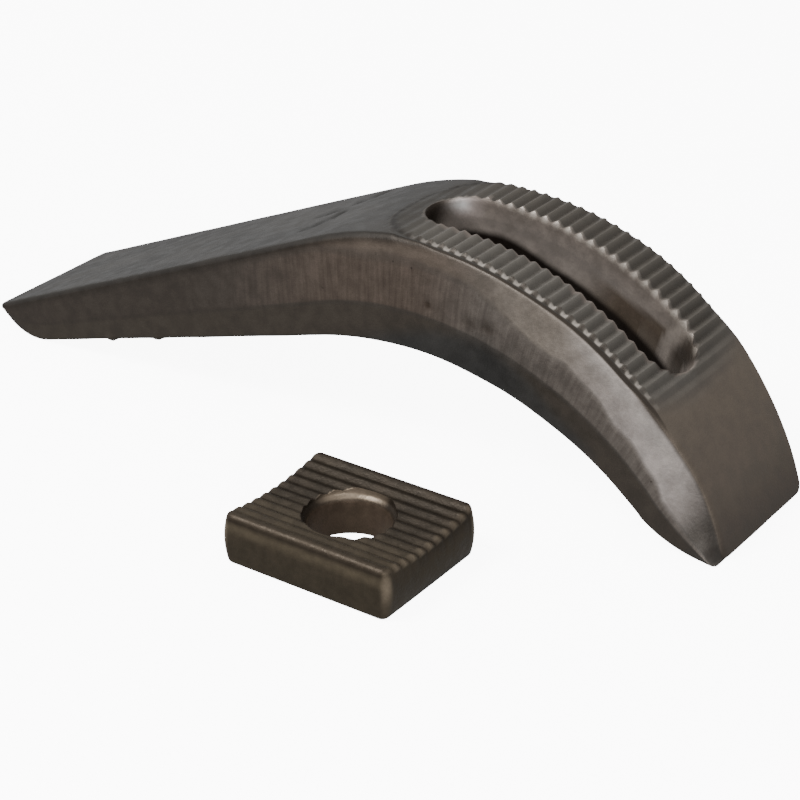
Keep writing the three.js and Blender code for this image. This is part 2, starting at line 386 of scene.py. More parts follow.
def store(mesh, name, values):
    data = mesh.attributes.new(name, "FLOAT", "POINT").data
    data.foreach_set("value", np.asarray(values, np.float32))


def load(mesh, name):
    values = np.empty(len(mesh.vertices), np.float32)
    mesh.attributes[name].data.foreach_get("value", values)
    return values.astype(float)


def arm_body():
    rings, along_arm, deep, thick = [], [], [], []
    for up, low, angle in zip(*stations()):
        thickness = np.hypot(*(up - low))
        to_ends = (angle * MM_PER_DEGREE + TIP_AT, (CREST_END - angle) * MM_PER_DEGREE)
        inset = 0.0
        for to_end, rounding in zip(to_ends, END_ROUND):
            closeness = np.clip(1 - to_end / rounding, 0, 1)
            inset += rounding * (1 - math.sqrt(1 - closeness**2))
        halves = []
        for side, sign in ((NEAR, -1), (FAR, 1)):
            y, depth = half_section(angle, thickness, side)
            at = up + (depth / thickness)[:, None] * (low - up)
            y = sign * y * (1 - inset / HALF_WIDTH)
            halves.append((np.stack([at[:, 0], ARM_Y + y, at[:, 1]], -1), depth))
        (near, near_depth), (far, far_depth) = halves
        rings.append(np.concatenate([near, far[-2:0:-1]]))
        size = len(rings[0])
        along_arm += [angle * MM_PER_DEGREE] * size
        deep += [*near_depth, *far_depth[-2:0:-1]]
        thick += [thickness] * size
    obj = mesh_object("forged_arm", np.concatenate(rings), tube_faces(len(rings), size))
    store(obj.data, "along", along_arm)
    store(obj.data, "deep", deep)
    store(obj.data, "thick", thick)
    return obj


def forge(obj):
    """Uneven forged skin, torn streaks and dents on the sheared band, folds and two small burrs."""
    mesh = obj.data
    points = coordinates(obj)
    normals = np.empty(len(points) * 3)
    mesh.vertex_normals.foreach_get("vector", normals)
    normals = normals.reshape(-1, 3)
    along_arm, deep, thick = load(mesh, "along"), load(mesh, "deep"), load(mesh, "thick")
    angle = along_arm / MM_PER_DEGREE
    across = points[:, 1] - ARM_Y
    y, far = np.abs(across), across > 0
    on_top = (deep < 1.6) & (y < pad_half(angle, far) + 0.6)
    in_pad = on_top * (1 - smooth(-0.5, 1, outside_pad(angle, y, far))) * heel_fade(angle, y)
    side = smooth(18.9, 19.4, y - swell(angle, far))
    band = side * smooth(0.2, 1, deep - shoulder_height(angle, thick))
    band *= smooth(-0.2, 0.6, thick * (1 - LOWER_SHARE) - deep)

    push = 0.13 * wavy(points, 11, 3) + 0.03 * wavy(points, 3.2, 8)
    push *= (1 - 0.75 * in_pad) * (1 - 0.55 * on_top * (1 - smooth(-16, -4, angle)))
    torn = wavy(np.stack([along_arm / 1.2, deep / 9, y / 20], -1), 1, 5)
    push += 0.07 * band * torn
    dent = np.zeros(len(points))
    ragged = 1 + 0.5 * wavy(points, 1.3, 14)
    for length, depth, size, strength in DENTS:
        away = np.hypot(along_arm - length, 1.3 * (deep - depth)) * ragged / size
        dent = np.maximum(dent, strength * np.exp(-(away**2)) * side * ~far)
    store(mesh, "dent", dent)
    push -= 0.3 * dent
    fold = fold_depth(points[:, 0], points[:, 1]) * (normals[:, 2] > 0.6)
    fold *= 1 + 0.6 * wavy(points, 1.6, 11)
    store(mesh, "fold", fold / FOLD_DEPTH)
    push -= fold
    for x, height, bump in BURRS:
        away = np.linalg.norm(points - (x, ARM_Y - HALF_WIDTH + 0.9, height), axis=1)
        push += bump * np.exp(-((away / 1.2) ** 2))
    points += push[:, None] * normals
    mesh.vertices.foreach_set("co", (points * MM).ravel())
    mesh.update()


# ---- Arm: slot -------------------------------------------------------------------------------
def slot_cutter():
    """The slot's volume, as rings square to its middle; its walls flare where they meet the skin."""
    turn = np.linspace(-math.pi / 2, math.pi / 2, 25)
    straight = np.linspace(-SLOT_REACH, SLOT_REACH, 70)[1:-1]
    end = np.full(len(turn), SLOT_REACH)
    sideways = np.full(len(straight), math.pi / 2)
    ahead = np.concatenate([end, straight[::-1], -end, straight])
    radial = np.concatenate([turn, sideways, turn + math.pi, -sideways])

    up = np.array([math.sin(SLOT_MIDDLE), math.cos(SLOT_MIDDLE)])
    forward = np.array([math.cos(SLOT_MIDDLE), -math.sin(SLOT_MIDDLE)])
    nose_lower, arch_lower = lower_outlines()
    base = np.concatenate([nose_lower, arch_lower[1:]]) - CREST
    base_ahead, base_up = base @ forward, base @ up

    def level(offset, above_base=None, below_top=None, flat=0.0):
        """A ring that follows the base or the top, or lies flat."""
        radius = SLOT_HALF + offset
        p = ahead + radius * np.cos(radial)
        height = np.full(len(p), flat)
        if above_base is not None:
            height = np.interp(p, base_ahead, base_up) + above_base
        if below_top is not None:
            height = np.sqrt(CREST_RADIUS**2 - p**2) - below_top
        xz = CREST + height[:, None] * up + p[:, None] * forward
        return np.stack([xz[:, 0], ARM_Y + radius * np.sin(radial), xz[:, 1]], -1)

    # Offset outside the slot's outline, with the depth under the top or the height over the base.
    upper = ((0.75, -0.05), (0.5, 0.3), (0.28, 0.75), (0.12, 1.25), (0.03, 2),
             (0.0, 3.5), (0.0, 5), (0.08, 5.5), (0.3, 6.3), (0.4, 8))
    lower = ((0.3, 1.2), (0.35, 0.4), (0.6, -0.2))
    clear = 3.0
    rings = [level(0.8, flat=CREST_RADIUS + clear)]
    rings += [level(offset, below_top=depth) for offset, depth in upper]
    rings += [level(offset, above_base=height) for offset, height in lower]
    rings += [level(0.6, flat=min(base_up) - clear)]
    faces = tube_faces(len(rings), len(ahead))
    return mesh_object("slot_cutter", np.concatenate(rings), [tuple(reversed(f)) for f in faces])


# ---- Washer ---------------------------------------------------------------------------------
WASHER_MIDDLE = 10.5     # thickness at the middle, to the tooth tops
WASHER_EDGE = 0.9        # rounding of the upper and lower edges
FRONT_EDGE = (1.1, 3.0)  # the upper front edge slopes off by this much over this width
WASHER_CORNER = 1.7      # rounding of the upright edges
WASHER_BULGE = np.array([0.045, 0.012])    # the ends and sides draw in by these shares
WASHER_TOPS = CREST_RADIUS - SINK - TOOTH_HEIGHT    # its tooth tops fit the arm's grooves
WASHER_CENTRE = (WASHER_LOW + WASHER_HIGH) / 2
# Half length and half width: a touch shorter and wider than the CAD solid's box.
WASHER_HALF = (WASHER_HIGH - WASHER_LOW)[:2] / 2 + (-0.1, 0.1)
WASHER_PITCHES = 12      # pitches of grid lines across it, which reach past both edges
GROOVE_SHARE = 0.6       # the washer's grooves are this much of the arm's in depth
HOLE_RADIUS = 8.75
HOLE_STEPS = 120
SEAT_RADIUS = 17.0       # radius of the ball that fits the nut seat
SEAT_MOUTH = 9.9         # radius of the seat's opening underneath


def box_grid(xs, ys, zs):
    """Points and quads of a box's surface, on the lines of a lattice."""
    counts = (len(xs), len(ys), len(zs))
    index, points, faces = {}, [], []

    def corner(i, j, k):
        if (i, j, k) not in index:
            index[i, j, k] = len(points)
            points.append((xs[i], ys[j], zs[k]))
        return index[i, j, k]

    for axis in range(3):
        u, v = (axis + 1) % 3, (axis + 2) % 3
        for side in (0, counts[axis] - 1):
            for a in range(counts[u] - 1):
                for b in range(counts[v] - 1):
                    quad = []
                    for da, db in ((0, 0), (1, 0), (1, 1), (0, 1)):
                        at = [0, 0, 0]
                        at[axis], at[u], at[v] = side, a + da, b + db
                        quad.append(corner(*at))
                    faces.append(tuple(quad if side else reversed(quad)))
    return np.array(points), faces


def with_edges(half, middle, edge):
    """Grid lines over a width: the middle ones, and close ones round each outer edge."""
    outer = half - edge * np.array([0, 0.13, 0.3, 0.5, 0.75, 1.0])
    middle = middle[np.abs(middle) < outer[-1] - 0.1]
    return np.concatenate([-outer, middle, outer[::-1]])


def washer_top(x, y):
    """Height of the hollow, toothed face."""
    swing = np.degrees(np.arcsin(np.clip(y / WASHER_TOPS, -1, 1)))
    hollow = WASHER_MIDDLE + WASHER_TOPS - np.sqrt(WASHER_TOPS**2 - y**2)
    ends = smooth(WASHER_HALF[0] - 1.8, WASHER_HALF[0] - 0.3, np.abs(x))
    depth = TOOTH_HEIGHT * (GROOVE_SHARE - 0.15 * ends) * (1 - 0.35 * smooth(8, 13, -y))
    groove = depth * (1 - tooth_height(swing / TOOTH_ANGLE))
    beyond = smooth(14.4, 15.2, np.abs(y))
    drop, width = FRONT_EDGE
    front = drop * np.clip(1 - (WASHER_HALF[1] + y) / width, 0, 1) ** 2
    return hollow - np.maximum(groove * (1 - beyond), 0.12 * ends) - front


def washer_block():
    height = WASHER_HIGH[2]
    shares = np.array([s for s, _ in TOOTH])
    pitches = np.arange(WASHER_PITCHES) - WASHER_PITCHES / 2
    swings = TOOTH_ANGLE * (pitches[:, None] + shares).ravel()
    half_x, half_y = WASHER_HALF
    lines_x = with_edges(half_x, np.arange(-half_x, half_x, 0.5), WASHER_CORNER)
    lines_y = with_edges(half_y, WASHER_TOPS * np.sin(np.radians(swings)), 1.5)
    lines_z = with_edges(height / 2, np.arange(-height, height, 0.6), WASHER_EDGE)
    points, faces = box_grid(lines_x, lines_y, lines_z)
    plan, z = points[:, :2], points[:, 2]

    # Upright edges: the plan's outline is drawn in to a rounded rectangle.
    share = np.maximum(np.max(np.abs(plan) / WASHER_HALF, axis=1), 1e-6)
    rim = plan / share[:, None]
    core = np.clip(rim, WASHER_CORNER - WASHER_HALF, WASHER_HALF - WASHER_CORNER)
    out = rim - core
    rounded = core + WASHER_CORNER * out / np.linalg.norm(out, axis=1)[:, None]
    plan = plan + (rounded - rim) * smooth(0.75, 1, share)[:, None]

    # Upper and lower edges, across the plan's outline.
    core = np.clip(plan, WASHER_CORNER - WASHER_HALF, WASHER_HALF - WASHER_CORNER)
    out = plan - core
    reach = np.linalg.norm(out, axis=1)
    inward = WASHER_CORNER - reach
    core_in = np.maximum(inward, WASHER_EDGE)
    core_z = np.clip(z, WASHER_EDGE - height / 2, height / 2 - WASHER_EDGE)
    away = np.hypot(inward - core_in, z - core_z)
    scale = WASHER_EDGE / np.maximum(away, 1e-9)
    new_in = np.where(away > 1e-9, core_in + (inward - core_in) * scale, inward)
    z = np.where(away > 1e-9, core_z + (z - core_z) * scale, z)
    stretch = (WASHER_CORNER - new_in) / np.maximum(reach, 1e-9)
    plan = np.where((reach > 1e-6)[:, None], core + out * stretch[:, None], plan)

    plan = plan * (1 - WASHER_BULGE * ((2 * z / height) ** 2)[:, None])
    z = (z + height / 2) * washer_top(plan[:, 0], plan[:, 1]) / height
    points = np.column_stack([plan + WASHER_CENTRE[:2], z])
    return mesh_object("serrated_washer_forging", points, faces)


def hole_cutter():
    """The hole, with the ball-shaped nut seat below and the broken rim above."""
    ball_z = -math.sqrt(SEAT_RADIUS**2 - SEAT_MOUTH**2)
    seat = [(r, ball_z + math.sqrt(SEAT_RADIUS**2 - r**2))
            for r in np.linspace(SEAT_MOUTH, HOLE_RADIUS, 7)]
    # The broken rim: out from the hole's radius, and up from the washer's middle.
    rim = [(0, -2.7), (0.06, -2.2), (0.22, -1.75), (0.46, -1.4), (0.72, -1.15), (0.95, -0.95),
           (1.1, -0.65), (1.17, -0.2), (1.2, 0.3), (1.22, 0.8), (1.22, 4)]
    # From under the washer up through the hole: radius and height.
    profile = [(SEAT_MOUTH + 0.5, -3), (SEAT_MOUTH + 0.3, -0.1), *seat, (HOLE_RADIUS, 3.5)]
    profile += [(HOLE_RADIUS + out, WASHER_MIDDLE + up) for out, up in rim]
    turn = np.linspace(0, 2 * math.pi, HOLE_STEPS + 1)[:-1]
    rings = [np.stack([WASHER_CENTRE[0] + r * np.cos(turn), WASHER_CENTRE[1] + r * np.sin(turn),
                       np.full(HOLE_STEPS, z)], -1) for r, z in profile]
    return mesh_object("hole_cutter", np.concatenate(rings), tube_faces(len(rings), HOLE_STEPS))


# ---- Masks for the materials ----------------------------------------------------------------
RIM_MARGIN = 0.86        # what lies this close outside the slot belongs to its broken rim
PLAIN_THICKNESS = 24     # stands in for the arm's thickness on the slot's wall


def in_slot(points):
    """True for points on the slot's wall or its broken rim."""
    rel_x, rel_z = points[:, 0] - CREST[0], points[:, 2] - CREST[1]
    ahead = rel_x * math.cos(SLOT_MIDDLE) - rel_z * math.sin(SLOT_MIDDLE)
    beyond = np.maximum(np.abs(ahead) - SLOT_REACH, 0)
    return np.hypot(beyond, points[:, 1] - ARM_Y) < SLOT_HALF + RIM_MARGIN


class ArmPlaces:
    """Where each vertex of the cut arm lies, in the terms that its masks use."""

    def __init__(self, obj):
        mesh = obj.data
        points = coordinates(obj)
        rel_x, rel_z = points[:, 0] - CREST[0], points[:, 2] - CREST[1]
        self.slot = in_slot(points)
        run_in_slot = np.degrees(np.arctan2(rel_x, rel_z)) * MM_PER_DEGREE
        run = np.where(self.slot, run_in_slot, load(mesh, "along"))
        self.deep = np.where(self.slot, CREST_RADIUS - np.hypot(rel_x, rel_z), load(mesh, "deep"))
        self.thick = np.where(self.slot, PLAIN_THICKNESS, load(mesh, "thick"))
        # The material reads these two as well, so they are put right on the slot's wall.
        for name, values in (("along", run), ("deep", self.deep)):
            mesh.attributes[name].data.foreach_set("value", values.astype(np.float32))
        self.angle = run / MM_PER_DEGREE
        self.across = points[:, 1] - ARM_Y
        self.y, self.far = np.abs(self.across), self.across > 0
        spread = np.where(self.far, 0, facet_spread(self.angle))
        self.side = smooth(18.95, 19.5, self.y + spread - swell(self.angle, self.far))
        self.side = self.side * smooth(0.5, 1.3, self.deep)
        self.outside = outside_pad(self.angle, self.y, self.far)
        self.tooth = tooth_height((self.angle - PAD_START) / TOOTH_ANGLE)


def side_masks(p):
    """The sides: the shoulder's pale facet with a painted highlight along its upper edge, the torn
    band, and the plain forged skin.
    """
    below = smooth(-0.35, 0.15, p.deep - shoulder_height(p.angle, p.thick))
    band_end = smooth(-0.5, 0.5, p.deep - p.thick * (1 - LOWER_SHARE))
    on_facet = smooth(0, 24, p.angle)
    brightest = smooth(26, 38, p.angle) * (1 - smooth(50, 62, p.angle))
    return {
        "facet": p.side * (1 - below) * on_facet * ~p.slot,
        # Painted highlight along the facet's upper edge.
        "facet_edge_painted_highlight": np.exp(-(((p.deep - 2.6) / 1.6) ** 2)) * brightest,
        "shoulder": p.side * (1 - below) * (1 - on_facet) * smooth(-60, -20, p.angle) * ~p.slot,
        "torn": p.side * below * (1 - band_end) * smooth(-62, -15, p.angle) * ~p.slot,
        "under": p.side * band_end,
        "nose_side": p.side * (1 - smooth(-62, -18, p.angle)),
    }


def pad_masks(p):
    """The serrated pad: its teeth with painted shade in the grooves, a painted highlight on the
    grooves' near ends and painted shade on the ridges' near ends, its dark rim, and the near land.
    """
    on_top = (p.deep < 2) * ~p.slot
    in_pad = (1 - smooth(-0.2, 0.4, p.outside)) * heel_fade(p.angle, p.y) * on_top
    near_end = in_pad * smooth(-1.5, -1.0, p.outside) * (1 - smooth(-0.2, 0.2, p.outside)) * ~p.far
    groove = 1 - p.tooth
    rim = np.exp(-(((p.outside + 0.5) / 0.85) ** 2)) * on_top
    rim = rim * smooth(-15.5, -13.5, p.angle) * (1 - smooth(-9, -1, p.angle))
    land = smooth(0.1, 0.5, p.outside) * (1 - p.side) * (p.deep < 2.5) * ~p.slot * ~p.far
    return {
        "pad": in_pad,
        "pad_rim": rim,
        "pad_start": in_pad * (1 - smooth(-11, 2, p.angle)),
        "far_pad": in_pad * p.far * smooth(-9, -1, p.angle),
        # Ridge tops, painted lighter than the grooves: painted shade in the grooves.
        "ridge_top_painted_light": in_pad * (1 - np.clip((p.deep - SINK) / TOOTH_HEIGHT, 0, 1)),
        # Painted highlight on the near ends of the grooves.
        "tooth_end_painted_highlight": near_end * smooth(0.35, 0.8, groove) * smooth(-8, 4, p.angle),
        # Painted shade on the near ends of the ridges.
        "ridge_end": near_end * smooth(0.45, 0.85, p.tooth) * smooth(-12, -4, p.angle),
        "land": land * smooth(-14, -2, p.angle) * (1 - smooth(46, 54, p.angle)),
        "heel": (1 - p.side) * (1 - in_pad) * smooth(36, 50, p.angle) * ~p.slot,
    }


def nose_masks(p):
    """The nose: its dark near edge, and how strong the fine bumps are on its top."""
    before_arch = (1 - smooth(-9, 6, p.angle)) * ~p.slot
    over_edge = smooth(17.2, 18.7, p.y) * (1 - smooth(0.5, 2.4, p.deep))
    nose_top = (1 - smooth(-16, -2, p.angle)) * (1 - p.side) * (p.deep < 2)
    return {
        "nose_edge": 0.75 * before_arch * over_edge * ~p.far,
        "texture": 1 - 0.85 * nose_top,
    }


def slot_masks(p):
    """The slot: painted light and painted shadow on the far wall and at its ends, and a painted
    highlight on its broken rim.
    """
    wall, far_wall = p.slot, p.slot * p.far
    spot = np.exp(-(((p.angle + 6.9) / 1.1) ** 2) - ((p.deep - 2) / 1.2) ** 2)
    nose_end = smooth(-8.8, -7, p.angle) * (1 - smooth(-6.5, -2, p.angle))
    nose_end = nose_end * smooth(0.2, 1.0, p.deep) * (1 - smooth(3.5, 6.5, p.deep))
    tips = 0.2 + 0.8 * smooth(0.35, 0.85, p.tooth)
    rim = (1 - smooth(0.9, 2.2, p.deep)) * smooth(-4, 6, p.angle) * (1 - 0.6 * smooth(38, 42, p.angle))
    dark_from = 7.4 + 2.6 * smooth(0, 14, p.angle) + 0.6 * smooth(14, 26, p.angle)
    shade_from = 8.4 - 0.22 * (p.angle - 21.6)
    lower = smooth(14, 22, p.angle) * (1 - smooth(37.4, 38.4, p.angle))
    patch = smooth(37.4, 38.6, p.angle) * (1 - smooth(39, 42, p.angle)) * (1 - smooth(4, 9, p.deep))
    return {
        "bore": wall,
        # Painted glint: a near-white spot at the nose end of the far wall.
        "slot_painted_glint": far_wall * spot,
        # Painted light on the far wall at the slot's nose end.
        "slot_nose_end_painted_light": far_wall * nose_end,
        # Painted highlight along the broken rim, strongest on the tooth tips.
        "rim": far_wall * rim * tips,
        # Painted shadow deeper in than the lit stretch of the wall.
        "past_light": p.deep - dark_from,
        # Painted shadow on the deeper part of the wall.
        "lower_wall_painted_shadow": wall * lower * smooth(-1.0, 0.9, p.deep - shade_from),
        # Painted shade on the heel end.
        "heel_end_painted_shade": wall * smooth(39.5, 42, p.angle) * (1 - smooth(44, 45.5, p.angle)),
        # Painted light on a patch of the heel end.
        "heel_end_painted_light": far_wall * patch,
        # Painted shade at the slot's nose end.
        "slot_nose_end_painted_shade": wall * (1 - smooth(1.5, 6.5, p.across)) * (1 - smooth(-5, -2, p.angle)),
    }


def arm_masks(obj):
    """Stores where the arm's steel is lighter, browner or darker, for its material, painted light and
    painted shade among them.
    """
    places = ArmPlaces(obj)
    for masks in (side_masks, pad_masks, nose_masks, slot_masks):
        for name, values in masks(places).items():
            store(obj.data, name, values)


def washer_masks(obj):
    """Stores where the washer's steel is worn, and where painted highlights and painted shade lie, for
    its material.
    """
    rel = coordinates(obj) - (*WASHER_CENTRE[:2], 0)
    x, y, z = rel.T
    radius = np.hypot(x, y)
    inside = WASHER_HALF - np.abs(rel[:, :2]) + WASHER_HALF * WASHER_BULGE * 0.5
    under_top = washer_top(x, y) - z
    to_front = WASHER_HALF[1] + y
    hole = radius < HOLE_RADIUS + 1.23
    ring = hole * smooth(0.1, 0.5, radius - HOLE_RADIUS)
    sides = (1 - smooth(0.5, 1.3, np.min(inside, axis=1))) * smooth(0.3, 0.9, under_top)
    upright = 1 - smooth(1.0, 2.6, np.hypot(inside[:, 0], inside[:, 1]))
    soft = (1 - smooth(0.8, 3.0, to_front)) * (1 - smooth(0.8, 2.2, under_top))
    swing = np.degrees(np.arcsin(np.clip(y / WASHER_TOPS, -1, 1)))
    ridge_ends = (1 - smooth(1.0, 2.6, inside[:, 0])) * tooth_height(swing / TOOTH_ANGLE)
    ridge_ends = ridge_ends * (under_top < 1)
    masks = {
        # Painted shade over the ring round the hole.
        "ring": ring,
        # Painted highlight on the ring's rear part.
        "ring_lit": ring * smooth(0.55, 1.0, (y - 0.6 * x) / 11),
        "bore": hole * (1 - smooth(0.05, 0.3, radius - HOLE_RADIUS)),
        "sides": sides,
        "front": smooth(2, -12, y) * ~hole,
        # Painted light on the upper strip of the front face, standing in for a lit rounded edge.
        "front_upper_painted_light": (1 - smooth(0.4, 1.4, to_front)) * (1 - smooth(2.4, 4.6, under_top)),
        # Painted shade along the upper front edge, dimming its highlight.
        "front_edge_painted_shade": soft * (1 - upright),
        # Wear and painted highlight on the upright edges, brightest higher up, and on the ridges'
        # ends.
        "wear_and_painted_highlight": np.maximum(upright * (0.3 + 0.7 * smooth(3, 9, z)), 0.6 * ridge_ends),
    }
    for name, values in masks.items():
        store(obj.data, name, values)


# ---- The two pieces -------------------------------------------------------------------------
arm = arm_body()
forge(arm)
cut(arm, slot_cutter())
arm_masks(arm)
washer = washer_block()
cut(washer, hole_cutter())
washer_masks(washer)
for piece, node, body, slot in ((arm, "clamp_arm", "arm", "arm_steel"),
                                (washer, "serrated_washer", "washer", "washer_steel")):
    piece.data.shade_smooth()
    piece.data.set_sharp_from_angle(angle=math.radians(28))
    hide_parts(node)
    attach(piece, body)


# ---- Materials ------------------------------------------------------------------------------
METALLIC = 0.6           # scaled, oily steel is only partly mirror-like


class Surface:
    """A node material built up one node at a time."""

    def __init__(self, name, metallic):
        self.material = bpy.data.materials.new(name)
        self.material.use_nodes = True
        self.tree = self.material.node_tree
        self.shader = self.tree.nodes["Principled BSDF"]
        self.shader.inputs["Metallic"].default_value = metallic
        self.shader.inputs["Specular IOR Level"].default_value = 0.2

    def node(self, kind, inputs, output=0, **settings):
        made = self.tree.nodes.new("ShaderNode" + kind)
        for key, value in settings.items():
            setattr(made, key, value)
        for key, value in inputs.items():
            if isinstance(value, bpy.types.NodeSocket):
                self.tree.links.new(value, made.inputs[key])
            else:
                made.inputs[key].default_value = value
        return made.outputs[output]

    def link(self, name, socket):
        self.tree.links.new(socket, self.shader.inputs[name])

    def mask(self, name):
        return self.node("Attribute", {}, output="Fac", attribute_name=name)

    def times(self, a, b):
        return self.node("Math", {0: a, 1: b}, operation="MULTIPLY")

    def noise(self, vector, size_mm, detail=3.0, roughness=0.55):
        """Noise with features of the given size; the vector is in metres."""
        inputs = {"Vector": vector, "Scale": 1 / (size_mm * MM), "Detail": detail,
                  "Roughness": roughness}
        return self.node("TexNoise", inputs)

    def spread(self, value, low, high, to_low=0.0, to_high=1.0):
        """A soft step from one number to another as the value goes from low to high."""
        inputs = {"Value": value, "From Min": low, "From Max": high, "To Min": to_low,
                  "To Max": to_high}
        return self.node("MapRange", inputs, interpolation_type="SMOOTHSTEP")

    def blend(self, amount, first, second, mode="MIX"):
        """A mix of two colours; the Mix node's colour sockets are numbers 6, 7 and output 2."""
        inputs = {0: amount, 6: first, 7: second}
        return self.node("Mix", inputs, output=2, data_type="RGBA", blend_type=mode)

    def mottled(self, colour, blotch, low, high):
        """The colour, darker and lighter in blotches."""
        amount = self.spread(blotch, 0.3, 0.7, low, high)
        grey = self.node("CombineColor", {0: amount, 1: amount, 2: amount})
        return self.blend(1.0, colour, grey, "MULTIPLY")

    def bump(self, height, distance_mm, below=None):
        inputs = {"Height": height, "Distance": distance_mm * MM, "Strength": 1.0}
        if below:
            inputs["Normal"] = below
        return self.node("Bump", inputs)


def shade(red, green, blue):
    """A linear colour from the 0 to 255 values it should look like under the studio light."""
    return (*(0.8 * (c / 255) ** 2.2 for c in (red, green, blue)), 1)


def torn_colour(s, place, run, deep):
    """The sheared band: upright streaks, brown at the nose and grey on the arch."""
    streak_at = s.node("CombineXYZ", {0: s.times(run, MM), 1: s.times(deep, MM / 14)})
    streaks = s.spread(s.noise(streak_at, 0.9, 4, 0.6), 0.3, 0.7)
    brown = s.blend(streaks, shade(86, 76, 69), shade(99, 88, 80))
    grey = s.blend(streaks, shade(98, 91, 86), shade(112, 105, 99))
    torn = s.blend(s.spread(run, -5, 22), brown, grey)
    pits = s.spread(s.noise(place, 1.6, 1), 0.73, 0.82)
    torn = s.blend(pits, torn, shade(60, 53, 47))
    return s.blend(s.mask("dent"), torn, shade(60, 50, 42))


def facet_colour(s, place, run):
    """The shoulder's ground facet: palest past the crest, with a painted highlight along its upper
    edge, and dark again near the heel.
    """
    skin = s.blend(s.spread(run, 4, 24), shade(108, 100, 92), shade(138, 129, 120))
    skin = s.blend(s.spread(run, 30, 62), skin, shade(176, 167, 162))
    # Painted highlight along the facet's upper edge.
    skin = s.blend(s.mask("facet_edge_painted_highlight"), skin, shade(184, 176, 170))
    skin = s.blend(s.spread(run, 72, 88), skin, shade(74, 70, 66))
    darker = s.blend(1.0, skin, (0.86, 0.85, 0.84, 1), "MULTIPLY")
    return s.blend(s.spread(s.noise(place, 1.8, 4, 0.65), 0.3, 0.7), darker, skin)


def wall_colour(s, deep):
    """The slot's wall, with the painted light and painted shadow that stand for the stretches light
    and shade give it, and a painted glint.
    """
    wall = s.blend(s.spread(deep, 1, 6), shade(120, 111, 104), shade(137, 128, 121))
    wall = s.blend(s.mask("lower_wall_painted_shadow"), wall, shade(89, 79, 69))
    wall = s.blend(s.mask("heel_end_painted_light"), wall, shade(154, 144, 135))
    wall = s.blend(s.mask("heel_end_painted_shade"), wall, shade(64, 57, 51))
    wall = s.blend(s.mask("slot_nose_end_painted_shade"), wall, shade(58, 52, 46))
    wall = s.blend(s.spread(s.mask("past_light"), 0, 2.0), wall, shade(34, 28, 24))
    wall = s.blend(s.mask("slot_nose_end_painted_light"), wall, shade(196, 182, 176))
    return s.blend(s.mask("slot_painted_glint"), wall, shade(260, 258, 255))


def arm_steel():
    s = Surface("arm_steel", METALLIC)
    place = s.node("TexCoord", {}, output="Object")
    run, deep = s.mask("along"), s.mask("deep")
    broad = s.noise(place, 16, 3)
    blotch = s.noise(place, 3.5, 4, 0.6)
    grain = s.noise(place, 0.7, 3, 0.6)

    colour = s.blend(s.spread(broad, 0.3, 0.7), shade(62, 61, 60), shade(72, 70, 68))
    heel = s.blend(s.spread(run, 80, 99), shade(102, 93, 84), shade(82, 75, 69))
    shoulder = s.blend(s.spread(deep, 0.6, 3.5), shade(64, 57, 51), shade(108, 97, 88))
    colour = s.blend(s.mask("heel"), colour, heel)
    # The pad is painted darker and its ridge tops lighter: painted shade in the grooves.
    colour = s.blend(s.mask("pad"), colour, shade(83, 79, 74))
    colour = s.blend(s.mask("ridge_top_painted_light"), colour, shade(107, 103, 97))
    colour = s.blend(s.mask("far_pad"), colour, (0.74, 0.72, 0.7, 1), "MULTIPLY")
    colour = s.blend(s.mask("pad_start"), colour, shade(60, 57, 53))
    # Painted shade on the ridges' near ends.
    colour = s.blend(s.mask("ridge_end"), colour, shade(68, 63, 58))
    # Painted highlight on the grooves' near ends.
    colour = s.blend(s.mask("tooth_end_painted_highlight"), colour, shade(175, 167, 158))
    colour = s.blend(s.mask("land"), colour, shade(64, 58, 52))
    colour = s.blend(s.mask("nose_side"), colour, shade(72, 66, 61))
    colour = s.blend(s.mask("pad_rim"), colour, shade(36, 32, 28))
    colour = s.blend(s.mask("shoulder"), colour, shoulder)
    colour = s.blend(s.mask("torn"), colour, torn_colour(s, place, run, deep))
    colour = s.blend(s.mask("fold"), colour, shade(40, 38, 36))
    colour = s.blend(s.mask("nose_edge"), colour, shade(47, 43, 39))
    colour = s.blend(s.mask("under"), colour, shade(75, 69, 63))
    colour = s.blend(s.mask("facet"), colour, facet_colour(s, place, run))
    # Painted light and painted shadow on the slot's wall.
    colour = s.blend(s.mask("bore"), colour, wall_colour(s, deep))
    # Painted highlight along the slot's broken rim.
    colour = s.blend(s.mask("rim"), colour, shade(158, 150, 141))
    s.link("Base Color", s.mottled(colour, blotch, 0.9, 1.08))

    s.link("Roughness", s.spread(blotch, 0.3, 0.7, 0.42, 0.6))
    texture = s.mask("texture")
    skin_bump = s.bump(s.times(blotch, texture), 0.08)
    s.link("Normal", s.bump(s.times(grain, texture), 0.07, skin_bump))
    return s.material


